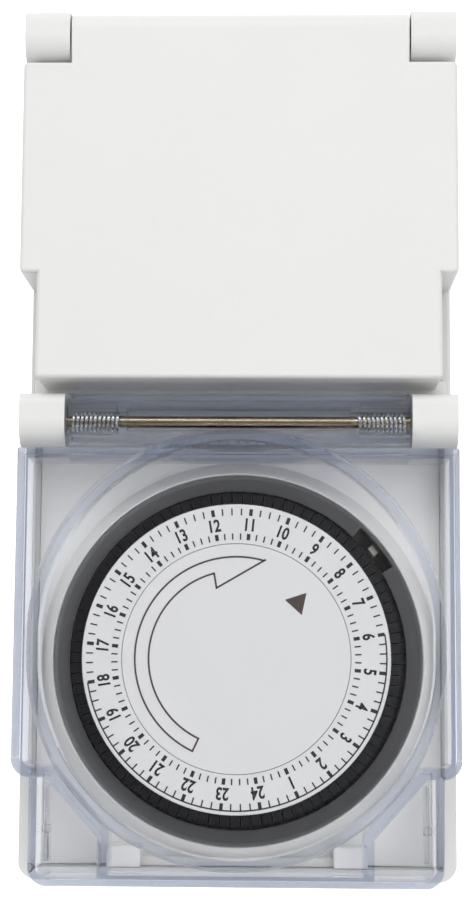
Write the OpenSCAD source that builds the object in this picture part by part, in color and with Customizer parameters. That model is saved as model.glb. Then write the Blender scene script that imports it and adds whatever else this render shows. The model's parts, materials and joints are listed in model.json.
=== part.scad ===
// Wall-mounted 24-hour mechanical time switch for an irrigation valve.
// Frame: wall face at y = 0, front towards -Y, up +Z, origin at the centre of the wall face.
// Front-view outlines are drawn in X and Z; "front" is the distance of a face ahead of the wall.

/* [Case] */
// Width of the base shell
body_w = 71.8; // [70:0.1:73]
// Height of the whole unit
body_h = 144; // [140:0.5:148]
// Depth of the base shell below the hinge between the lids
low_depth = 40; // [36:0.5:42]
// Depth of the base shell around the terminals
top_depth = 36; // [32:0.5:38]
// Wall thickness of the base shell
shell_t = 2; // [1.5:0.1:3]
// Height of the wall between the two chambers
divider_z = 6; // [4:0.5:8]

/* [Hinges] */
// Radius of the knuckles and barrels
knuckle_r = 4.4; // [4:0.1:5]
// Rounding of the front upper edge of a knuckle
nose_r = 2; // [1:0.1:3]
// Top of the lip on the wall between the chambers, from the middle of the height
lip_z = 11; // [9:0.5:12]
// Length of one knuckle
knuckle_len = 7.5; // [6:0.5:9]
// Height of the upper hinge axis
top_axis_z = 67.2; // [66:0.1:68]
// Distance of the upper hinge axis ahead of the wall
top_axis_f = 47.4; // [46:0.1:49]
// Height of the middle hinge axis
mid_axis_z = 2.8; // [2:0.1:4]
// Distance of the middle hinge axis ahead of the wall
mid_axis_f = 45.6; // [44:0.1:47]
// Radius of the hinge pins
pin_r = 1; // [0.8:0.1:1.5]

/* [Lids] */
// Width of both lids
lid_w = 72; // [71:0.1:73]
// Front face of the flat part of the clear lid
lid_front = 50; // [48:0.5:52]
// Wall thickness of the clear lid
lid_t = 1.6; // [1.2:0.1:2.4]
// Height of the dome over the dial
dome_h = 5; // [4:0.5:6]
// Outer radius of the dome
dome_r = 33.2; // [32:0.1:34]
// How far the dome is stretched up towards the hinge
dome_rise = 3.4; // [0:0.1:4]
// Front face of the terminal cover
cover_front = 52; // [50:0.5:53]
// Height of the step where the terminal cover narrows
step_z = 26.7; // [24:0.1:30]
// Width of the narrow part of the terminal cover
narrow_w = 66.4; // [64:0.1:68]

/* [Dial] */
// Height of the dial axis
dial_z = -36; // [-38:0.5:-34]
// Front face of the dial
dial_front = 52.5; // [50:0.5:53]
// Outer radius of the hour ring
hour_r = 24.6; // [23:0.1:26]
// Radius of the still disc in the middle of the dial
centre_r = 18.2; // [16:0.1:20]
// Outer radius of the slotted drum under the segments, before its 0.2 mm of clearance
foot_r = 28.1; // [27:0.1:29]
// Outer radius of a segment
neck_r = 26.35; // [25.5:0.05:26.5]
// Number of switching segments, one for each quarter hour
segment_count = 96; // [48:48:96]
// Width of one switching segment at the dial's rim
segment_t = 1.48; // [1:0.02:1.5]
// Front face of the dial plate
plate_front = 35.5; // [34:0.5:37]

/* [Gears] */
// Tooth module of the dial gear and the pinion that drives it
slow_module = 0.6; // [0.5:0.1:0.8]
// Teeth on the dial gear
dial_teeth = 72; // [60:1:80]
// Tooth module of the motor pinion and the wheel it drives
fast_module = 0.4; // [0.3:0.1:0.5]
// Teeth on the idler wheel
wheel_teeth = 60; // [50:1:72]
// Teeth on both pinions
pinion_teeth = 10; // [10:1:14]
// Direction from the dial axis to the idler axis, in degrees from the right
idler_angle = 133; // [120:1:140]

/* [Terminals] */
// Number of terminals
terminal_count = 5; // [3:1:6]
// Distance from one terminal to the next
terminal_pitch = 10; // [8:0.5:11]
// Bore of the cable grommet
cable_r = 5; // [3:0.5:6]
// Radius of the wall screw holes
wall_hole_r = 2.1; // [1.8:0.1:2.5]

/* [Hidden] */
$fn = 96;
gap = 0.3;
big = 200;
half_w = body_w / 2;
half_h = body_h / 2;
half_lid = lid_w / 2;
knuckle_in = half_w - knuckle_len;
barrel_half = knuckle_in - gap;
floor_t = 2.5;
tab_h = 3;
tab_low_z = -62;
tab_top_z = -18;
lid_top = mid_axis_z - knuckle_r - gap;
lid_back = low_depth + gap;
cover_back = top_depth + gap;
cover_t = 2;
cover_bottom = 9.2;
corner_r = 3;
wall_x = 28;
wall_top_z = 59;
wall_low_z = 14.5;
pocket_z = -55;
pocket_x = 30.5;
notch_x = 22;
notch_z = -64.5;
pocket_w = 33;
pocket_front = 42.4;
bar_low = -1.2;
bar_high = 7;
plate_t = 2;
collar_r = 31;
collar_foot = 33.2;
collar_in = 30.3;
well_top = 40.7;
well_ring_in = 27.75;
collar_front = 42.4;
well_r = 29.75;
post_r = 1.5;
arbor_r = 3.5;
arbor_in = 1.55;
running = 0.05;
frame_front = 22.5;
frame_t = 1.5;
screw_x = 29.5;
screw_top = -2.5;
screw_low = -48;
slow_reach = slow_module * (dial_teeth + pinion_teeth) / 2 + running;
fast_reach = fast_module * (wheel_teeth + pinion_teeth) / 2 + running;
idler_x = slow_reach * cos(idler_angle);
idler_z = dial_z + slow_reach * sin(idler_angle);
motor_x = idler_x + fast_reach;
motor_z = idler_z;
can_r = 15;
lever_angle = 39;
lever_r = 28.4;
lever_arm = 11;
tip_x = (lever_r + 0.45) * cos(lever_angle);
tip_z = dial_z + (lever_r + 0.45) * sin(lever_angle);
lever_x = tip_x + lever_arm * sin(lever_angle);
lever_z = tip_z - lever_arm * cos(lever_angle);
end_x = tip_x - 8 * sin(lever_angle);
end_z = tip_z + 8 * cos(lever_angle);
block_low = 20;
block_high = 42;
block_front = 26;
grommet_f = 20;
window_low = 31;
window_high = 47;
spring_in = 20.3;
spring_out = 27.5;
tongue_t = 1;
neck_half = segment_t / 2 * neck_r / hour_r;
first_loose = 18;
loose_count = 8;

// A flat shape drawn in X and Z, its front face the given distance ahead of the wall
module slab(front, thick)
    rotate([90, 0, 0])
        translate([0, 0, front - thick])
            linear_extrude(thick)
                children();

// A profile of radius against distance ahead of the wall, turned about the axis at x, z
module turned(x, z)
    translate([x, 0, z])
        rotate([90, 0, 0])
            rotate_extrude()
                children();

// A rod along X
module rod_x(x0, x1, f, z, r)
    translate([x0, -f, z])
        rotate([0, 90, 0])
            cylinder(h = x1 - x0, r = r);

module block(x0, x1, f0, f1, z0, z1)
    translate([x0, -f1, z0])
        cube([x1 - x0, f1 - f0, z1 - z0]);

// Rectangle in X and Z with rounded corners
module rounded(x0, x1, z0, z1, r) {
    translate([x0 + r, z0]) square([x1 - x0 - 2 * r, z1 - z0]);
    translate([x0, z0 + r]) square([x1 - x0, z1 - z0 - 2 * r]);
    for (x = [x0 + r, x1 - r], z = [z0 + r, z1 - r])
        translate([x, z]) circle(r = r, $fn = 48);
}

// What a rounded corner leaves out, drawn at a corner that points along x_side, z_side
module nibble(x, z, r, x_side, z_side)
    translate([x - x_side * r, z - z_side * r])
        difference() {
            translate([x_side > 0 ? 0 : -r - 1, z_side > 0 ? 0 : -r - 1]) square(r + 1);
            circle(r = r, $fn = 48);
        }

module both_sides() {
    children();
    mirror([1, 0, 0]) children();
}

// Outline of an involute gear wheel with one tooth pointing right
function rollout(r, base) = tan(acos(base / r)) * 180 / PI - acos(base / r);
function flank(r, base, pitch_r, half) = half + rollout(pitch_r, base) - rollout(max(r, base), base);
module gear_outline(m, teeth) {
    pitch_r = m * teeth / 2;
    base = pitch_r * cos(20);
    tip = pitch_r + 0.8 * m;
    root = pitch_r - 1.2 * m;
    low = max(base, root);
    half = 90 / teeth - 0.12 * m / pitch_r * 180 / PI;
    radii = [root, low + 0.001, low + (tip - low) / 3, low + (tip - low) * 2 / 3, tip];
    polygon([for (k = [0 : teeth - 1]) for (s = [-1, 1]) for (i = [0 : 4])
        let (r = radii[s < 0 ? i : 4 - i], a = k * 360 / teeth + s * flank(r, base, pitch_r, half))
        [r * cos(a), r * sin(a)]]);
}

// Hinge knuckle: flat in front and on top, round below, with an arm back to the shell
module knuckle(f, z, arm_f) {
    front = f + knuckle_r;
    top = z + knuckle_r;
    block(knuckle_in, half_w, arm_f, f, z - 2, top);
    rod_x(knuckle_in, half_w, f, z, knuckle_r);
    block(knuckle_in, half_w, f - 1, front, z, top - nose_r);
    block(knuckle_in, half_w, f - 1, front - nose_r, z, top);
    rod_x(knuckle_in, half_w, front - nose_r, top - nose_r, nose_r);
}

module shell_ring()
    difference() {
        rounded(-half_w, half_w, -half_h, half_h, corner_r);
        rounded(shell_t - half_w, half_w - shell_t, shell_t - half_h, half_h - shell_t, 1.2);
    }

// Back plate that closes the shell, with the wall screw holes and the posts under the gear frame
module back_plate() color([0.93, 0.93, 0.92]) difference() {
    union() {
        slab(floor_t, floor_t) rounded(-half_w, half_w, -half_h, half_h, corner_r);
        both_sides() {
            for (z = [screw_top, screw_low])
                translate([screw_x, -frame_front + frame_t, z])
                    rotate([-90, 0, 0])
                        cylinder(h = frame_front - frame_t, r = 3);
            // Tabs that centre the plate in the shell
            for (z = [tab_low_z, tab_top_z])
                block(half_w - shell_t - 1.05, half_w - shell_t - 0.05, 1, floor_t + tab_h, z - 4, z + 4);
        }
    }
    for (x = [-wall_x, wall_x], z = [wall_low_z, wall_top_z])
        translate([x, 1, z])
            rotate([90, 0, 0])
                cylinder(h = floor_t + 2, r = wall_hole_r);
    for (x = [-screw_x, screw_x], z = [screw_top, screw_low])
        translate([x, -frame_front, z])
            rotate([-90, 0, 0])
                cylinder(h = 12, r = 1.2);
}

// Base shell: two open chambers with a wall between them and a hinge knuckle at each corner
module housing() color([0.93, 0.93, 0.92]) difference() {
    union() {
        slab(low_depth, low_depth - floor_t) intersection() {
            shell_ring();
            translate([-half_w, -half_h]) square([body_w, half_h + divider_z + shell_t]);
        }
        slab(top_depth, top_depth - floor_t) intersection() {
            shell_ring();
            translate([-half_w, divider_z]) square([body_w, half_h - divider_z]);
        }
        both_sides() {
            knuckle(mid_axis_f, mid_axis_z, low_depth - 4);
            knuckle(top_axis_f, top_axis_z, top_depth - 4);
            // Ribs beside the cable entry
            block(12, 13.5, floor_t, 30, half_h - 8, half_h - 1);
        }
        block(1 - half_w, half_w - 1, floor_t, low_depth - 1.3, divider_z, divider_z + shell_t);
        block(1 - half_w, half_w - 1, low_depth - 3.3, low_depth - 1.3, divider_z, lip_z);
        block(-half_w, half_w, top_depth - 1, top_axis_f - knuckle_r - 1, half_h - shell_t, half_h);
    }
    // Hinge pin holes, blind at their outer ends
    rod_x(1.2 - half_w, half_w - 1.2, mid_axis_f, mid_axis_z, pin_r + 0.02);
    rod_x(1.2 - half_w, half_w - 1.2, top_axis_f, top_axis_z, pin_r + 0.02);
    // Cable entry in the top wall
    translate([0, -grommet_f, half_h - 4])
        cylinder(h = 5, r = cable_r + 2.5);
    // Slots for the busbars in the wall between the chambers
    for (i = [0 : terminal_count - 1])
        translate([(i - (terminal_count - 1) / 2) * terminal_pitch, -8, divider_z])
            cube([4.4, 1.8, 12], center = true);
}

// Opaque hinged cover over the terminals, narrower below its step
module terminal_cover() color([0.95, 0.95, 0.93]) difference() {
    union() {
        block(-half_lid, half_lid, cover_back, cover_front, step_z, top_axis_z - knuckle_r - gap);
        block(-narrow_w / 2, narrow_w / 2, low_depth - 1, cover_front, cover_bottom, step_z + 1);
        block(-barrel_half, barrel_half, top_axis_f, cover_front, top_axis_z - 6, top_axis_z + 1);
        rod_x(-barrel_half, barrel_half, top_axis_f, top_axis_z, knuckle_r);
        rod_x(-barrel_half, barrel_half, cover_front - 3.2, top_axis_z + 1, 3.2);
    }
    // Hollow behind the front plate
    block(cover_t - half_lid, half_lid - cover_t, 0, cover_front - cover_t, step_z + cover_t,
        top_axis_z - knuckle_r - gap);
    block(cover_t - narrow_w / 2, narrow_w / 2 - cover_t, 0, cover_front - cover_t,
        cover_bottom + cover_t, step_z + 3);
    // Room for the top wall and the barrel to turn behind the plate
    block(-big, big, 0, top_axis_f - knuckle_r, top_axis_z - 7, big);
    rod_x(-big, big, top_axis_f, top_axis_z, pin_r + running);
}

module terminal_cover_pin() color([0.72, 0.72, 0.7])
    rod_x(1.4 - half_w, half_w - 1.4, top_axis_f, top_axis_z, pin_r);

// Outline of the flat front of the clear lid, without its lower corners
module lid_outline(inset)
    difference() {
        polygon([
            [inset - half_lid, lid_top - inset], [half_lid - inset, lid_top - inset],
            [half_lid - inset, pocket_z + inset], [pocket_x - inset * 0.4, pocket_z + inset],
            [notch_x - inset, notch_z + inset * 0.4], [notch_x - inset, inset - half_h],
            [inset - notch_x, inset - half_h], [inset - notch_x, notch_z + inset * 0.4],
            [inset * 0.4 - pocket_x, pocket_z + inset], [inset - half_lid, pocket_z + inset]]);
        for (side = [-1, 1])
            nibble(side * (half_lid - inset), pocket_z + inset, corner_r - inset, side, -1);
    }

// The set-back lower corners, as one band between their outer walls
module pocket_outline(inset)
    difference() {
        translate([inset - pocket_w, inset - half_h])
            square([2 * (pocket_w - inset), half_h + pocket_z + 0.5 - inset]);
        for (side = [-1, 1])
            nibble(side * (pocket_w - inset), inset - half_h, corner_r - inset, side, -1);
    }

module dome_outline(inset) {
    translate([0, dial_z]) circle(r = dome_r - inset, $fn = 180);
    translate([0, dial_z + dome_rise]) circle(r = dome_r - inset, $fn = 180);
    translate([inset - dome_r, dial_z]) square([2 * (dome_r - inset), dome_rise]);
}

// Clear sprung lid over the dial
module clear_lid() color([0.75, 0.8, 0.95, 0.35]) difference() {
    union() {
        slab(lid_front, lid_front - lid_back) {
            lid_outline(0);
            pocket_outline(0);
        }
        slab(lid_front + dome_h, dome_h + 2) dome_outline(0);
        // Bar along the hinge, boxed in front
        rod_x(-barrel_half, barrel_half, mid_axis_f, mid_axis_z, knuckle_r);
        block(-barrel_half, barrel_half, mid_axis_f - 4.2, lid_front, bar_low, bar_high);
        block(-barrel_half, barrel_half, mid_axis_f - 4.2, mid_axis_f - 1.2, lid_top - 1, mid_axis_z);
    }
    slab(lid_front - lid_t, lid_front) lid_outline(lid_t);
    slab(lid_front + dome_h - lid_t, dome_h + 4) intersection() {
        dome_outline(lid_t);
        translate([-big, -big]) square([2 * big, big + lid_top - lid_t]);
    }
    slab(lid_front + dome_h - lid_t, dome_h) dome_outline(lid_t);
    // Corner pockets, open to the front, with a floor near the base
    slab(lid_front + 1, lid_front + 1 - pocket_front) difference() {
        pocket_outline(1.3);
        lid_outline(0);
    }
    slab(pocket_front - 1.2, 10) pocket_outline(1.3);
    // Pin hole, the open front of the bar and the two spring chambers
    rod_x(-big, big, mid_axis_f, mid_axis_z, pin_r + running);
    block(-18.2, 18.2, mid_axis_f - 1.2, lid_front + 1, bar_low + 2.2, mid_axis_z + 1.5);
    both_sides() {
        rod_x(spring_in - 0.3, spring_out + 0.3, mid_axis_f, mid_axis_z, 2.5);
        block(spring_in - 0.3, spring_out + 0.3, mid_axis_f, big, mid_axis_z - 2.5, mid_axis_z + 2.5);
    }
}

module lid_pin() color([0.8, 0.72, 0.5])
    rod_x(1.4 - half_w, half_w - 1.4, mid_axis_f, mid_axis_z, pin_r);

// Coils of a torsion spring round the lid pin, drawn as rings
module coils(x0, x1, count, r, wire)
    for (i = [0 : count - 1])
        translate([x0 + (x1 - x0) * (i + 0.5) / count, 0, 0])
            rotate([0, 90, 0])
                rotate_extrude()
                    translate([r, 0]) circle(r = wire, $fn = 24);

module lid_spring_left() color([0.7, 0.7, 0.7])
    translate([0, -mid_axis_f, mid_axis_z])
        coils(-spring_out, -spring_in, 9, 1.7, 0.25);

module lid_spring_right() color([0.7, 0.7, 0.7])
    translate([0, -mid_axis_f, mid_axis_z])
        coils(spring_in, spring_out, 9, 1.7, 0.25);

// Window where the trip lever reaches the segments
module lever_window(r0, r1)
    translate([0, dial_z])
        difference() {
            intersection() {
                circle(r = r1);
                polygon([[0, 0], [2 * r1 * cos(window_low), 2 * r1 * sin(window_low)],
                    [2 * r1 * cos(window_high), 2 * r1 * sin(window_high)]]);
            }
            circle(r = r0);
        }

// Light grey plate over the clockwork, with a sloping collar round the dial
module dial_plate() color([0.82, 0.82, 0.81]) difference() {
    union() {
        slab(plate_front, plate_t)
            rounded(-33.8, 33.8, shell_t - half_h + 0.1, divider_z - 0.2, 1);
        turned(0, dial_z) polygon([[collar_in, plate_front - 1], [collar_foot, plate_front - 1],
            [collar_foot, plate_front], [collar_r + 0.2, collar_front - 0.8],
            [collar_r - 0.3, collar_front], [collar_in + 0.2, collar_front],
            [collar_in, collar_front - 0.2]]);
        // Catches for the lid and the ledge between them
        both_sides()
            block(15.8, 21.4, plate_front - 1, plate_front + 4.5, shell_t - half_h + 0.1, -66.4);
        block(-16, 16, plate_front - 1, plate_front + 2, shell_t - half_h + 0.1, -68.4);
        turned(idler_x, idler_z) translate([1, plate_front - plate_t - 0.8]) square([1.5, 1]);
    }
    turned(0, dial_z) square([arbor_r + running, plate_front + 1]);
    turned(idler_x, idler_z) square([1.03, plate_front - 0.8]);
    turned(lever_x, lever_z) square([0.82, plate_front - 0.8]);
    slab(plate_front + 1, plate_t + 3) lever_window(27.6, collar_in + 0.01);
}

// Dark ring behind and around the segments
module dial_well() color([0.2, 0.19, 0.19]) difference() {
    turned(0, dial_z) polygon([[22, plate_front], [collar_in - 0.05, plate_front],
        [collar_in - 0.05, well_top], [well_r, well_top],
        [well_r, plate_front + 0.7], [22, plate_front + 0.7]]);
    slab(plate_front + 4, 8) lever_window(27.6, well_r + 0.1);
}

// Dark ring in front of the segment feet
module well_ring() color([0.25, 0.24, 0.24]) difference() {
    turned(0, dial_z) polygon([[well_ring_in, well_top], [collar_in - 0.05, well_top],
        [collar_in - 0.05, collar_front - 0.3], [well_ring_in, collar_front - 0.8]]);
    slab(collar_front + 1, 4) lever_window(well_ring_in - 1, well_r);
}

module hour_ring() color([0.86, 0.86, 0.86])
    turned(0, dial_z) polygon([[centre_r + 0.1, dial_front - 1], [hour_r, dial_front - 1],
        [hour_r, dial_front - 0.15], [hour_r - 0.15, dial_front], [centre_r + 0.1, dial_front]]);

module centre_disc() color([0.86, 0.86, 0.86])
    turned(0, dial_z) square_at(0, centre_r, dial_front - 1, dial_front - 0.05);

// Rectangle between two radii and two distances ahead of the wall
module square_at(r0, r1, f0, f1)
    translate([r0, f0]) square([r1 - r0, f1 - f0]);

module centre_post() color([0.72, 0.72, 0.7])
    turned(0, dial_z) square_at(0, post_r, frame_front - frame_t, dial_front - 1);

module dial_arbor() color([0.8, 0.68, 0.4])
    turned(0, dial_z) square_at(arbor_in, arbor_r, frame_front + 0.2, 49);

// Drum that carries the segments in 96 slots
module segment_carrier() color([0.12, 0.12, 0.12]) {
    turned(0, dial_z) polygon([[arbor_r + 0.01, 37], [5.5, 37], [5.5, 49.5], [22.5, 49.5], [22.5, 37],
        [24, 37], [24, 40], [hour_r - 0.15, 40], [hour_r - 0.15, 51.3], [2.2, 51.3], [2.2, 49.2],
        [arbor_r + 0.01, 49.2]]);
    slab(39.5, 2.5) translate([0, dial_z]) difference() {
        circle(r = foot_r - 0.2);
        circle(r = 23.5);
        for (i = [0 : segment_count - 1])
            rotate(i * 360 / segment_count)
                translate([24.55, -tongue_t / 2 - 0.05])
                    square([5, tongue_t + 0.1]);
    }
}

// One switching segment: a wedge whose back slopes out towards its foot, with a tongue for its slot
module segment(i)
    color([0.1, 0.1, 0.1])
        translate([0, 0, dial_z])
            rotate([0, -i * 360 / segment_count, 0]) {
                slab(51.8, 12.2) polygon([[hour_r, -segment_t / 2], [neck_r, -neck_half],
                    [neck_r, neck_half], [hour_r, segment_t / 2]]);
                // Tongue in the slot of the carrier; pulled out, its end pushes the trip lever
                block(hour_r, hour_r + 3.1, 38, 39.7, -tongue_t / 2, tongue_t / 2);
            }

module segments()
    for (i = [0 : segment_count - 1])
        if (i < first_loose || i >= first_loose + loose_count) segment(i);

module segment_1() segment(first_loose);
module segment_2() segment(first_loose + 1);
module segment_3() segment(first_loose + 2);
module segment_4() segment(first_loose + 3);
module segment_5() segment(first_loose + 4);
module segment_6() segment(first_loose + 5);
module segment_7() segment(first_loose + 6);
module segment_8() segment(first_loose + 7);

module dial_gear() color([0.9, 0.88, 0.8])
    slab(32, 3) translate([0, dial_z]) difference() {
        rotate(idler_angle) gear_outline(slow_module, dial_teeth);
        circle(r = arbor_r + 0.01);
        for (a = [0 : 60 : 300]) rotate(a) translate([12, 0]) circle(r = 4, $fn = 48);
    }

module idler_gear() color([0.88, 0.86, 0.78]) translate([0, 0, idler_z]) {
    slab(32.4, 6) translate([idler_x, 0]) difference() {
        rotate(idler_angle + 180 + 180 / pinion_teeth) gear_outline(slow_module, pinion_teeth);
        circle(r = 1.05, $fn = 48);
    }
    slab(27, 3) translate([idler_x, 0]) difference() {
        gear_outline(fast_module, wheel_teeth);
        circle(r = 1.05, $fn = 48);
        for (a = [30 : 60 : 330]) rotate(a) translate([7, 0]) circle(r = 2.2, $fn = 48);
    }
}

module idler_arbor() color([0.72, 0.72, 0.7])
    turned(idler_x, idler_z) square_at(0, 1, frame_front - frame_t, plate_front - 1);

// Sheet metal frame behind the gears
module gear_plate() color([0.75, 0.76, 0.76])
    slab(frame_front, frame_t) difference() {
        translate([-33, -52]) square([66, 54]);
        translate([0, dial_z]) circle(r = post_r + 0.01, $fn = 48);
        translate([idler_x, idler_z]) circle(r = 1.01, $fn = 48);
        translate([motor_x, motor_z]) circle(r = 1.5, $fn = 48);
        translate([lever_x, lever_z]) circle(r = 0.81, $fn = 48);
        for (x = [-screw_x, screw_x], z = [screw_top, screw_low])
            translate([x, z]) circle(r = 1.6, $fn = 48);
    }

module gear_plate_screws() color([0.7, 0.7, 0.7])
    for (x = [-screw_x, screw_x], z = [screw_top, screw_low])
        difference() {
            turned(x, z) polygon([[0, 12], [1.15, 12], [1.15, frame_front + 0.01],
                [2.5, frame_front + 0.01], [2.5, frame_front + 1.5], [0, frame_front + 1.5]]);
            block(x - 2, x + 2, frame_front + 0.8, frame_front + 2, z - 0.3, z + 0.3);
        }

module motor_can() color([0.7, 0.71, 0.72])
    turned(motor_x, motor_z) polygon([[0, 5], [can_r, 5], [can_r, 20.9], [2.5, 20.9], [2.5, 20.1],
        [can_r - 0.8, 20.1], [can_r - 0.8, 5.8], [0, 5.8]]);

module motor_coil() color([0.6, 0.3, 0.12])
    turned(motor_x, motor_z) square_at(9, can_r - 1, 7, 19.5);

module rotor() color([0.25, 0.25, 0.27])
    turned(motor_x, motor_z) polygon([[0, 6.2], [1, 6.2], [1, 8], [8, 8], [8, 18.5], [1, 18.5],
        [1, 27.6], [0, 27.6]]);

module motor_pinion() color([0.85, 0.75, 0.45])
    slab(27.4, 3.8) translate([motor_x, motor_z]) difference() {
        rotate(180 + 180 / pinion_teeth) gear_outline(fast_module, pinion_teeth);
        circle(r = 1, $fn = 48);
    }

// Lever whose finger stands in the window and whose end works the switch button
module trip_lever() color([0.85, 0.85, 0.83]) difference() {
    union() {
        slab(31, 2) polygon([
            [lever_x + 2.2, lever_z - 1.4], [lever_x + 1.6, lever_z + 2.2], [tip_x + 1.4, tip_z + 1],
            [end_x + 1.2, end_z + 1.2], [end_x - 1.2, end_z + 0.2], [tip_x - 1.2, tip_z - 1.2],
            [lever_x - 2.2, lever_z - 1.4]]);
        slab(39, 9) translate([0, dial_z]) rotate(lever_angle)
            translate([lever_r, -0.8]) square([0.9, 1.6]);
    }
    turned(lever_x, lever_z) square([0.85, 40]);
}

module lever_pin() color([0.72, 0.72, 0.7])
    turned(lever_x, lever_z) square_at(0, 0.8, frame_front - frame_t, plate_front - 1);

module lever_spring() color([0.7, 0.7, 0.7])
    for (i = [0 : 4])
        translate([lever_x, -24 - i * 0.8, lever_z])
            rotate([90, 0, 0])
                rotate_extrude()
                    translate([1.5, 0]) circle(r = 0.2, $fn = 24);

// Snap-action switch box above the lever
module switch_case() color([0.13, 0.13, 0.14]) difference() {
    block(7, 26.5, 23, 33, -9.5, 0.5);
    block(end_x - 1.8, end_x + 2.4, 26.5, 31.5, -12, -6);
}

// Pad on the end of the lever that presses the blade inside the switch
module lever_pad() color([0.8, 0.25, 0.2])
    block(end_x - 1, end_x + 1, 31, 31.3, end_z - 0.2, end_z + 1);

module switch_terminals() color([0.8, 0.68, 0.4])
    for (x = [9.5, 16.5, 23.5])
        block(x - 1.4, x + 1.4, 27.6, 28.4, 0.5, 5);

// Insulating block with a wire funnel and a screw well for each terminal
module terminal_block() color([0.25, 0.26, 0.27]) difference() {
    block(-27, 27, floor_t, block_front, block_low, block_high);
    for (i = [0 : terminal_count - 1]) {
        x = (i - (terminal_count - 1) / 2) * terminal_pitch;
        block(x - 3.3, x + 3.3, 6, 15, block_low + 3, block_high + 1);
        turned(x, (block_low + block_high) / 2) square([2.6, block_front + 1]);
        block(x - 2.2, x + 2.2, 7.2, 8.9, block_low - 1, block_low + 4);
    }
}

module terminal_clamps() color([0.8, 0.7, 0.42])
    for (i = [0 : terminal_count - 1]) {
        x = (i - (terminal_count - 1) / 2) * terminal_pitch;
        difference() {
            block(x - 3, x + 3, 6.2, 14.6, 27, 35);
            block(x - 2.2, x + 2.2, 7.4, 12.6, 20, 42);
            turned(x, 31) square([1.5, 20]);
        }
    }

module terminal_screws() color([0.75, 0.75, 0.73])
    for (i = [0 : terminal_count - 1]) {
        x = (i - (terminal_count - 1) / 2) * terminal_pitch;
        difference() {
            turned(x, 31) polygon([[0, 10], [1.45, 10], [1.45, 18], [2.4, 18], [2.4, 20], [0, 20]]);
            block(x - 3, x + 3, 19.2, 21, 30.7, 31.3);
        }
    }

// Copper strips from the terminals through the wall into the clockwork chamber
module busbars() color([0.75, 0.45, 0.25])
    for (i = [0 : terminal_count - 1]) {
        x = (i - (terminal_count - 1) / 2) * terminal_pitch;
        block(x - 2, x + 2, 7.5, 8.5, 1, 33);
    }

module cable_grommet() color([0.1, 0.1, 0.1])
    translate([0, -grommet_f, half_h])
        rotate_extrude()
            polygon([[cable_r, -5], [cable_r + 4, -5], [cable_r + 4, -2.05], [cable_r + 2.45, -2.05],
                [cable_r + 2.45, 0.05], [cable_r + 3.5, 0.05], [cable_r + 3, 0.4], [cable_r, 0.4]]);

housing();
back_plate();
terminal_cover();
terminal_cover_pin();
clear_lid();
lid_pin();
lid_spring_left();
lid_spring_right();
dial_plate();
dial_well();
well_ring();
hour_ring();
centre_disc();
centre_post();
dial_arbor();
segment_carrier();
segments();
segment_1();
segment_2();
segment_3();
segment_4();
segment_5();
segment_6();
segment_7();
segment_8();
dial_gear();
idler_gear();
idler_arbor();
gear_plate();
gear_plate_screws();
motor_can();
motor_coil();
rotor();
motor_pinion();
trip_lever();
lever_pad();
lever_pin();
lever_spring();
switch_case();
switch_terminals();
terminal_block();
terminal_clamps();
terminal_screws();
busbars();
cable_grommet();
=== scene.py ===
import json
import math

import bmesh
import bpy
from mathutils import Matrix, Vector


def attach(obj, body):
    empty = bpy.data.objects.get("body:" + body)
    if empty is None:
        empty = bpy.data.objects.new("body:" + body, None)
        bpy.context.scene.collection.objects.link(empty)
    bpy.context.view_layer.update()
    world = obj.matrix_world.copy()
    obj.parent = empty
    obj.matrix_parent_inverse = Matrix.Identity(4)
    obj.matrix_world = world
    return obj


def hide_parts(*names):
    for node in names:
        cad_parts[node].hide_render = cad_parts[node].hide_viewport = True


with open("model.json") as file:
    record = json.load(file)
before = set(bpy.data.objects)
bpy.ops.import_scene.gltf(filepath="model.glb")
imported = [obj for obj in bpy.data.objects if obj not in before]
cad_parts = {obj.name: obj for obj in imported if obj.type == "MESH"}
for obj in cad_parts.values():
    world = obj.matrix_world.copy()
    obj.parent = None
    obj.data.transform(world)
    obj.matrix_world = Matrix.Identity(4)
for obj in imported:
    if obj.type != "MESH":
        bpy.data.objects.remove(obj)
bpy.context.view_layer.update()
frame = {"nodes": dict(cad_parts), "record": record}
nodes = frame["nodes"]
mm = 0.001
print("frame loaded")


# ---------- shader maths ----------

class Wire:
    # wraps one output socket so that sums and products read as plain maths

    def __init__(self, surface, socket):
        self.surface = surface
        self.socket = socket

    def maths(self, operation, first, second=0.0, clamp=False):
        return self.surface.add("ShaderNodeMath", {"operation": operation, "use_clamp": clamp},
                                {0: first, 1: second})[0]

    def __add__(self, other): return self.maths("ADD", self, other)
    def __mul__(self, other): return self.maths("MULTIPLY", self, other)

    def clamped(self): return self.maths("ADD", self, 0.0, clamp=True)
    def power(self, other): return self.maths("POWER", self, other)


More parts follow.
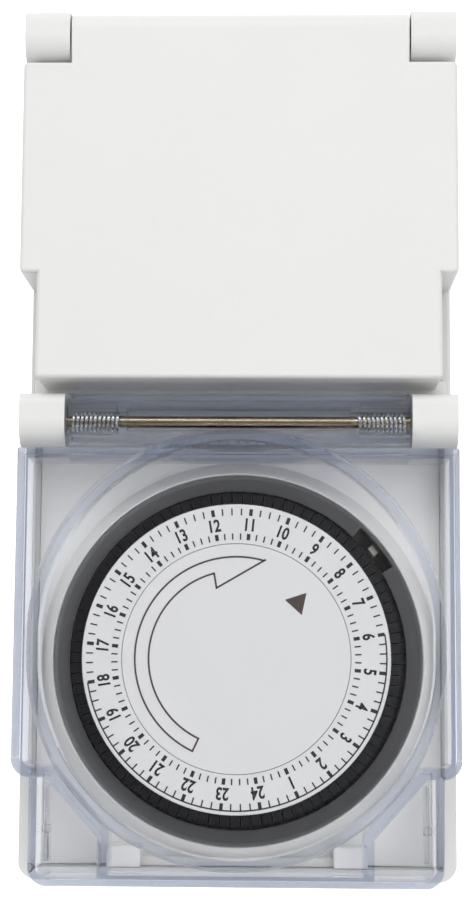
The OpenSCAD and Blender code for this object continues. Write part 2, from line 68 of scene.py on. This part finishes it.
class Surface:
    # one material; add() makes any node, shader() sets the Principled sockets

    def __init__(self, name):
        self.material = bpy.data.materials.new(name)
        self.material.use_nodes = True
        self.tree = self.material.node_tree
        self.principled = self.tree.nodes["Principled BSDF"]
        self.output = self.tree.nodes["Material Output"]

    def add(self, kind, settings=None, values=None):
        node = self.tree.nodes.new(kind)
        for key, value in (settings or {}).items():
            setattr(node, key, value)
        for key, value in (values or {}).items():
            self.plug(node.inputs[key], value)
        return [Wire(self, s) for s in node.outputs]

    def plug(self, socket, value):
        if isinstance(value, Wire):
            self.tree.links.new(value.socket, socket)
        else:
            socket.default_value = value

    def shader(self, **values):
        for name, value in values.items():
            self.plug(self.principled.inputs[name.replace("_", " ")], value)

    def place(self):
        return self.add("ShaderNodeTexCoord")[3]

    def noise(self, scale, detail=2.0, stretch=(1, 1, 1), rough=0.5):
        spot = self.add("ShaderNodeMapping", {}, {"Vector": self.place(), "Scale": stretch})[0]
        return self.add("ShaderNodeTexNoise", {},
                        {"Vector": spot, "Scale": scale, "Detail": detail, "Roughness": rough})[0]

    def mix(self, factor, first, second):
        out = self.add("ShaderNodeMix", {"data_type": "RGBA"}, {0: factor, 6: first, 7: second})
        return out[2]

    def bump(self, height, distance, strength=1.0):
        return self.add("ShaderNodeBump", {},
                        {"Height": height, "Distance": distance, "Strength": strength})[0]


# ---------- finishes ----------

# noise scales, and how far roughness swings with the fine noise
moulding = {"cloudScale": 60, "roughSwing": 0.12}
drawn = {"patchScale": 120, "patchDark": 0.72, "roughSwing": 0.25, "roughDrop": 0.1}
glassy = {"ior": 1.45, "scuffScale": 900, "scuffSwing": 0.04, "roughness": 0.005, "edgePower": 1.5,
          "edgeAlpha": 0.85, "faceAlpha": 0.1, "hazeColour": (0.15, 0.3, 0.62, 1), "haze": 45.0}


def matteMoulding(name, colour, grain, depth, rough, spread=0.03, specular=0.5):
    # spark-eroded mould texture: fine pits plus a very faint cloudiness
    s = Surface(name)
    cloud = s.noise(moulding["cloudScale"], 3)
    fine = s.noise(grain, 3, rough=0.6)
    dark = tuple(c * (1 - spread) for c in colour[:3]) + (1,)
    s.shader(Base_Color=s.mix(cloud, dark, colour),
             Roughness=(fine * moulding["roughSwing"] + (rough - moulding["roughSwing"] / 2)).clamped(),
             Normal=s.bump(fine, depth * mm),
             Specular_IOR_Level=specular)
    return s.material


def metal(name, colour, rough, along, grain=900, depth=0.004):
    # drawn or rolled metal: streaks stretched along one axis
    s = Surface(name)
    streak = s.noise(grain, 3, stretch=along)
    patch = s.noise(drawn["patchScale"], 3)
    dark = tuple(c * drawn["patchDark"] for c in colour[:3]) + (1,)
    s.shader(Base_Color=s.mix(patch, dark, colour),
             Roughness=(streak * drawn["roughSwing"] + (rough - drawn["roughDrop"])).clamped(),
             Normal=s.bump(streak, depth * mm),
             Metallic=1.0)
    return s.material


def clearPlastic():
    # clear where it faces the eye, glassy where it turns away; deep walls look blue
    s = Surface("clearPolycarbonate")
    turned = s.add("ShaderNodeLayerWeight", {}, {"Blend": 0.5})[1]
    scuff = s.noise(glassy["scuffScale"], 4)
    alpha = turned.power(glassy["edgePower"]) * glassy["edgeAlpha"] + glassy["faceAlpha"]
    s.shader(Base_Color=(1, 1, 1, 1), Transmission_Weight=1.0, IOR=glassy["ior"],
             Roughness=scuff * glassy["scuffSwing"] + glassy["roughness"],
             Alpha=alpha.clamped())
    haze = s.add("ShaderNodeVolumeAbsorption", {},
                 {"Color": glassy["hazeColour"], "Density": glassy["haze"]})
    s.tree.links.new(haze[0].socket, s.output.inputs["Volume"])
    return s.material


finishes = {
    "white_abs": matteMoulding("whiteAbs", (0.72, 0.72, 0.71, 1), 3600, 0.02, 0.5),
    "clear_polycarbonate": clearPlastic(),
    "pin_steel": metal("pinSteel", (0.70, 0.70, 0.69, 1), 0.3, (0.05, 1, 1)),
    "yellow_zinc": metal("yellowZinc", (0.56, 0.46, 0.31, 1), 0.14, (0.05, 1, 1)),
    "spring_steel": metal("springSteel", (0.82, 0.85, 0.87, 1), 0.14, (1, 1, 1)),
    "grey_plate": matteMoulding("greyPlate", (0.9, 0.885, 0.86, 1), 3000, 0.015, 0.45),
    "dark_well": matteMoulding("darkWell", (0.13, 0.128, 0.128, 1), 3000, 0.01, 0.34, 0.1),
    "dial_face": matteMoulding("dialFace", (0.76, 0.745, 0.72, 1), 5000, 0.004, 0.5),
    "black_plastic": matteMoulding("blackPlastic", (0.006, 0.0055, 0.0065, 1), 3000, 0.008, 0.3, 0.3, 0.3),
    "brass_parts": metal("brassParts", (0.78, 0.6, 0.32, 1), 0.25, (1, 1, 1)),
    "acetal": matteMoulding("acetal", (0.8, 0.77, 0.68, 1), 2500, 0.008, 0.4),
    "zinc_sheet": metal("zincSheet", (0.66, 0.68, 0.7, 1), 0.32, (1, 1, 0.1)),
    "coil_copper": matteMoulding("coilCopper", (0.42, 0.16, 0.05, 1), 1500, 0.05, 0.35),
    "ferrite": matteMoulding("ferrite", (0.05, 0.05, 0.055, 1), 2500, 0.01, 0.55),
    "pad_red": matteMoulding("padRed", (0.5, 0.04, 0.03, 1), 3000, 0.004, 0.3),
    "block_grey": matteMoulding("blockGrey", (0.1, 0.11, 0.12, 1), 2500, 0.012, 0.45),
    "copper_strip": metal("copperStrip", (0.72, 0.42, 0.24, 1), 0.3, (1, 1, 0.1)),
    "black_rubber": matteMoulding("blackRubber", (0.02, 0.02, 0.02, 1), 2500, 0.02, 0.7),
}
printInk = matteMoulding("printInk", (0.018, 0.017, 0.017, 1), 4000, 0.002, 0.5, 0.3)
printBrown = matteMoulding("printBrown", (0.075, 0.048, 0.04, 1), 4000, 0.002, 0.5, 0.3)

slotOf = {s["node"]: s["material_slot"] for s in frame["record"]["subparts"]}
for name, obj in nodes.items():
    for k in range(max(1, len(obj.data.materials))):
        if k < len(obj.data.materials):
            obj.data.materials[k] = finishes[slotOf[name]]
        else:
            obj.data.materials.append(finishes[slotOf[name]])
print("finishes made")


# ---------- small mesh helpers ----------

def finishMesh(bm, name, material, body):
    mesh = bpy.data.meshes.new(name)
    bm.to_mesh(mesh)
    bm.free()
    obj = bpy.data.objects.new(name, mesh)
    bpy.context.scene.collection.objects.link(obj)
    mesh.materials.append(material)
    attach(obj, body)
    return obj


def flatToFront(front):
    # turns a flat patch to face the front, at this distance from the wall
    return Matrix.Translation((0, -front * mm, 0)) @ Matrix.Rotation(math.pi / 2, 4, "X")


# ---------- print on the dial ----------

dial = {"centreZ": -36.0, "front": 52.5, "discFront": 52.45, "lift": 0.02, "hour11": 84.5,
        "innerTicks": (18.9, 19.9), "outerTicks": (22.8, 23.9), "lineRadius": 23.8,
        "digitRadius": 21.35, "digitHeight": 2.05, "digitWidth": 0.78, "digitWeight": 0.028,
        "thin": 0.23, "thick": 0.56, "nightFrom": 18, "nightTo": 30, "nightWidth": 0.24,
        "quarters": 96, "quarterAngle": 3.75, "arcSteps": 72}


def hourAngle(hour):
    return dial["hour11"] + 15 * (hour - 11)


def addBar(bm, angle, r0, r1, width):
    # one printed bar along a radius
    a = math.radians(angle)
    place = Matrix.Rotation(a, 4, "Z") @ Matrix.Translation(((r0 + r1) / 2, 0, 0)) @ \
        Matrix.Diagonal((r1 - r0, width, 1, 1))
    bmesh.ops.create_grid(bm, x_segments=1, y_segments=1, size=0.5, matrix=place)


def addArc(bm, r0, r1, a0, a1, steps):
    # one printed band round part of a circle, spun from a short edge
    start = math.radians(a0)
    v0 = bm.verts.new((r0 * math.cos(start), r0 * math.sin(start), 0))
    v1 = bm.verts.new((r1 * math.cos(start), r1 * math.sin(start), 0))
    edge = bm.edges.new((v0, v1))
    bmesh.ops.spin(bm, geom=[v0, v1, edge], cent=(0, 0, 0), axis=(0, 0, 1),
                   angle=math.radians(a1 - a0), steps=steps)


def thicken(bm, height):
    # gives flat print a real thickness
    made = bmesh.ops.extrude_face_region(bm, geom=bm.faces[:])
    bmesh.ops.translate(bm, vec=(0, 0, height),
                        verts=[v for v in made["geom"] if isinstance(v, bmesh.types.BMVert)])
    bmesh.ops.recalc_face_normals(bm, faces=bm.faces[:])


def placePrint(bm, front):
    bm.transform(Matrix.Diagonal((mm, mm, mm, 1)))
    bm.transform(Matrix.Translation((0, 0, dial["centreZ"] * mm)) @ flatToFront(front))


ticks = bmesh.new()
for quarter in range(dial["quarters"]):
    angle = hourAngle(11) + quarter * dial["quarterAngle"]
    whole = quarter % 4 == 0
    width = dial["thick"] if whole else dial["thin"]
    addBar(ticks, angle, dial["innerTicks"][0], dial["innerTicks"][1], width)
    addBar(ticks, angle, dial["outerTicks"][0], dial["outerTicks"][1], width)
addArc(ticks, dial["lineRadius"], dial["lineRadius"] + dial["nightWidth"],
       hourAngle(dial["nightFrom"]), hourAngle(dial["nightTo"]), dial["arcSteps"])
thicken(ticks, dial["lift"])
placePrint(ticks, dial["front"])
finishMesh(ticks, "dialTicks", printInk, "dial")


def textMesh(words):
    curve = bpy.data.curves.new("digits", "FONT")
    curve.body = words
    curve.size = 1.0
    curve.align_x = "CENTER"
    curve.align_y = "CENTER"
    curve.resolution_u = 4
    curve.offset = dial["digitWeight"]
    holder = bpy.data.objects.new("digits", curve)
    bpy.context.scene.collection.objects.link(holder)
    bpy.context.view_layer.update()
    mesh = bpy.data.meshes.new_from_object(holder.evaluated_get(bpy.context.evaluated_depsgraph_get()))
    bpy.data.objects.remove(holder)
    return mesh


digits = bmesh.new()
for hour in range(1, 25):
    mesh = textMesh(str(hour))
    low = min(v.co.y for v in mesh.vertices)
    high = max(v.co.y for v in mesh.vertices)
    left = min(v.co.x for v in mesh.vertices)
    right = max(v.co.x for v in mesh.vertices)
    scale = dial["digitHeight"] / (high - low)
    turn = math.radians(hourAngle(hour) - 90)
    mesh.transform(Matrix.Rotation(turn, 4, "Z") @ Matrix.Translation((0, dial["digitRadius"], 0)) @
                   Matrix.Diagonal((scale * dial["digitWidth"], scale, 1, 1)) @
                   Matrix.Translation((-(left + right) / 2, -(low + high) / 2, 0)))
    digits.from_mesh(mesh)
bmesh.ops.remove_doubles(digits, verts=digits.verts[:], dist=0.0005)
thicken(digits, dial["lift"])
placePrint(digits, dial["front"])
finishMesh(digits, "dialDigits", printInk, "dial")

arrow = {"outer": 16.15, "inner": 13.95, "line": 0.3, "from": 245.0, "toOuter": 73.8,
         "toInner": 105.0, "barbRadius": 11.6, "barbAngle": 106.0, "tipRadius": 16.3}


def onCircle(radius, angle):
    return Vector((radius * math.cos(math.radians(angle)), radius * math.sin(math.radians(angle)), 0))


def addStroke(bm, start, end, width):
    # one straight printed line between two points
    along = end - start
    turn = math.atan2(along.y, along.x)
    place = Matrix.Translation((start + end) / 2) @ Matrix.Rotation(turn, 4, "Z") @ \
        Matrix.Diagonal((along.length + width, width, 1, 1))
    bmesh.ops.create_grid(bm, x_segments=1, y_segments=1, size=0.5, matrix=place)


outline = bmesh.new()
half = arrow["line"] / 2
for radius, end in ((arrow["outer"], arrow["toOuter"]), (arrow["inner"], arrow["toInner"])):
    addArc(outline, radius - half, radius + half, arrow["from"], end, dial["arcSteps"])
tip = onCircle(arrow["tipRadius"], arrow["toOuter"])
barb = onCircle(arrow["barbRadius"], arrow["barbAngle"])
tailOuter = onCircle(arrow["outer"], arrow["from"])
tailInner = onCircle(arrow["inner"], arrow["from"])
addStroke(outline, tailOuter, tailInner, arrow["line"])
addStroke(outline, onCircle(arrow["inner"], arrow["toInner"]), barb, arrow["line"])
addStroke(outline, barb, tip, arrow["line"])
thicken(outline, dial["lift"])
placePrint(outline, dial["discFront"])
finishMesh(outline, "directionArrow", printBrown, "base")

pointer = {"centre": 13.2, "angle": 42.3, "size": 2.1, "turn": -42.0}
mark = bmesh.new()
bmesh.ops.create_circle(mark, cap_ends=True, segments=3, radius=pointer["size"],
                        matrix=Matrix.Translation(onCircle(pointer["centre"], pointer["angle"])) @
                        Matrix.Rotation(math.radians(pointer["turn"]), 4, "Z"))
thicken(mark, dial["lift"])
placePrint(mark, dial["discFront"])
finishMesh(mark, "timeMark", printBrown, "base")
print("dial printed")


# ---------- wound springs ----------

spring = {"axisY": -45.6, "axisZ": 2.8, "from": 19.8, "to": 27.4, "turns": 10.5, "radius": 1.7,
          "wire": 0.23, "sides": 10, "stepsPerTurn": 20}


def windSpring(name, side, node):
    bm = bmesh.new()
    start = (side * spring["from"] * mm, spring["axisY"] * mm,
             (spring["axisZ"] + spring["radius"]) * mm)
    bmesh.ops.create_circle(bm, segments=spring["sides"], radius=spring["wire"] * mm,
                            matrix=Matrix.Translation(start))
    steps = int(spring["turns"] * spring["stepsPerTurn"])
    bmesh.ops.spin(bm, geom=bm.verts[:] + bm.edges[:],
                   cent=(0, spring["axisY"] * mm, spring["axisZ"] * mm), axis=(1, 0, 0),
                   dvec=(side * (spring["to"] - spring["from"]) / steps * mm, 0, 0),
                   angle=spring["turns"] * 2 * math.pi, steps=steps)
    ends = [e for e in bm.edges if e.is_boundary]
    bmesh.ops.holes_fill(bm, edges=ends, sides=20)
    bmesh.ops.recalc_face_normals(bm, faces=bm.faces[:])
    for f in bm.faces:
        f.smooth = True
    obj = finishMesh(bm, name, finishes["spring_steel"], "base")
    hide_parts(node)


windSpring("lidSpringLeft", -1, "lid_spring_left")
windSpring("lidSpringRight", 1, "lid_spring_right")
print("springs wound")


# ---------- ribs and clips in the lid's lower corners ----------

rib = {"x": (30.2, 31.1), "front": (42.4, 45.2), "z": (-68.6, -56.4), "rounding": 0.2}
clip = {"x": (30.0, 31.6), "front": (42.4, 44.4), "z": (-64.2, -62.8), "rounding": 0.45}


def addBox(bm, side, sizes):
    # a small box with rounded edges, between the limits in millimetres
    x, front, z = sizes["x"], sizes["front"], sizes["z"]
    centre = Vector((side * sum(x) / 2, -sum(front) / 2, sum(z) / 2)) * mm
    scale = Matrix.Diagonal(((x[1] - x[0]) * mm, (front[1] - front[0]) * mm, (z[1] - z[0]) * mm, 1))
    made = bmesh.ops.create_cube(bm, size=1, matrix=Matrix.Translation(centre) @ scale)
    edges = list({e for v in made["verts"] for e in v.link_edges})
    bmesh.ops.bevel(bm, geom=edges, offset=sizes["rounding"] * mm, offset_type="OFFSET", segments=3,
                    profile=0.5, affect="EDGES", clamp_overlap=True, material=-1)


for side, word in ((-1, "Left"), (1, "Right")):
    ribs = bmesh.new()
    addBox(ribs, side, rib)
    addBox(ribs, side, clip)
    finishMesh(ribs, "pocketRib" + word, finishes["clear_polycarbonate"], "lid")


# ---------- softened edges on moulded nodes ----------

# body, rounding and shortest edge that is rounded, in millimetres
moulded = {"housing": ("base", 0.5, 2.5), "back_plate": ("base", 0.4, 2.5),
           "terminal_cover": ("cover", 0.7, 2.5), "clear_lid": ("lid", 0.3, 1.5),
           "dial_plate": ("base", 0.2, 2.0)}
# in degrees: faces this flat are merged, edges this sharp are rounded, and shading breaks here
angles = {"flat": 0.3, "corner": 50, "shadeSharp": 32}


def softCopy(node, body, width, shortest):
    # a merged copy of the exact mesh with its sharp edges rounded
    bm = bmesh.new()
    bm.from_mesh(nodes[node].data)
    bmesh.ops.remove_doubles(bm, verts=bm.verts[:], dist=0.01 * mm)
    bmesh.ops.dissolve_limit(bm, angle_limit=math.radians(angles["flat"]),
                             verts=bm.verts[:], edges=bm.edges[:])
    bmesh.ops.recalc_face_normals(bm, faces=bm.faces[:])
    sharp = [e for e in bm.edges if len(e.link_faces) == 2 and e.is_convex
             and e.calc_face_angle(0) > math.radians(angles["corner"])
             and e.calc_length() > shortest * mm]
    bmesh.ops.bevel(bm, geom=sharp, offset=width * mm, offset_type="OFFSET", segments=2, profile=0.5,
                    affect="EDGES", clamp_overlap=False, material=-1)
    bmesh.ops.recalc_face_normals(bm, faces=bm.faces[:])
    for f in bm.faces:
        f.smooth = True
    obj = finishMesh(bm, node + "Soft", finishes[slotOf[node]], body)
    obj.data.set_sharp_from_angle(angle=math.radians(angles["shadeSharp"]))
    even = obj.modifiers.new("evenNormals", "WEIGHTED_NORMAL")
    even.keep_sharp = True
    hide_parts(node)
    print(node, len(sharp), "edges,", len(obj.data.polygons), "faces")


for node, (body, width, shortest) in moulded.items():
    softCopy(node, body, width, shortest)
print("edges softened")


# ---------- stage, lights and camera ----------

def paleSheet(name, size, place, turn, shade, glow):
    bm = bmesh.new()
    bmesh.ops.create_grid(bm, x_segments=1, y_segments=1, size=size / 2,
                          matrix=Matrix.Translation(place) @ Matrix.Rotation(turn, 4, "X"))
    mesh = bpy.data.meshes.new(name)
    bm.to_mesh(mesh)
    bm.free()
    obj = bpy.data.objects.new(name, mesh)
    bpy.context.scene.collection.objects.link(obj)
    s = Surface(name + "Paint")
    s.shader(Base_Color=(shade, shade, shade, 1), Roughness=0.9,
             Emission_Color=(1, 1, 1, 1), Emission_Strength=glow)
    mesh.materials.append(s.material)


paleSheet("floor", 6, (0, 0, -0.4), 0, 0.6, 0.0)
paleSheet("backdrop", 6, (0, 0.7, 0.6), math.pi / 2, 0.9, 0.7)


def softLight(name, place, size, power):
    # a rectangular lamp that points at the origin
    lamp = bpy.data.lights.new(name, "AREA")
    lamp.shape = "RECTANGLE"
    lamp.size = size[0]
    lamp.size_y = size[1]
    lamp.energy = power
    obj = bpy.data.objects.new(name, lamp)
    obj.location = place
    obj.rotation_euler = (Vector((0, 0, 0)) - Vector(place)).to_track_quat("-Z", "Y").to_euler()
    bpy.context.scene.collection.objects.link(obj)


softLight("keyLight", (-0.25, -0.95, 0.8), (0.8, 0.6), 4.8)
softLight("fillLight", (0.45, -1.1, 0.0), (0.7, 0.9), 4.1)

world = bpy.data.worlds.new("softRoom")
world.use_nodes = True
# a soft room: bright above, a dim band at eye level so that metal has something to mirror
sky = world.node_tree.nodes
direction = sky.new("ShaderNodeTexCoord")
apart = sky.new("ShaderNodeSeparateXYZ")
shade = sky.new("ShaderNodeValToRGB")
height = sky.new("ShaderNodeMapRange")
height.inputs["From Min"].default_value = -1
world.node_tree.links.new(direction.outputs["Generated"], apart.inputs[0])
world.node_tree.links.new(apart.outputs["Z"], height.inputs["Value"])
world.node_tree.links.new(height.outputs["Result"], shade.inputs["Fac"])
world.node_tree.links.new(shade.outputs["Color"], sky["Background"].inputs["Color"])
bands = ((0.0, 0.55), (0.38, 0.7), (0.47, 0.28), (0.55, 0.32), (0.64, 0.8), (1.0, 1.0))
while len(shade.color_ramp.elements) < len(bands):
    shade.color_ramp.elements.new(0.5)
for element, (position, value) in zip(shade.color_ramp.elements, bands):
    element.position = position
    element.color = (value, value, value, 1)
sky["Background"].inputs["Strength"].default_value = 0.95
bpy.context.scene.world = world
bpy.context.scene.view_settings.view_transform = "Standard"

camera = {"x": 7.6, "front": 346.7, "z": -39.5, "pitch": 7.14, "yaw": 1.51, "roll": 0.37, "focal": 1840,
          "picture": 900, "sensor": 36}
lens = bpy.data.cameras.new("camera")
lens.sensor_width = camera["sensor"]
lens.lens = camera["focal"] / camera["picture"] * camera["sensor"]
lens.clip_start = 0.01
lens.clip_end = 20
viewer = bpy.data.objects.new("camera", lens)
turn = Matrix.Rotation(math.radians(camera["yaw"]), 4, "Z") @ \
    Matrix.Rotation(math.radians(90 + camera["pitch"]), 4, "X") @ \
    Matrix.Rotation(math.radians(camera["roll"]), 4, "Z")
viewer.matrix_world = Matrix.Translation((camera["x"] * mm, -camera["front"] * mm, camera["z"] * mm)) @ turn
bpy.context.scene.collection.objects.link(viewer)
bpy.context.scene.camera = viewer
print("lights and camera set")
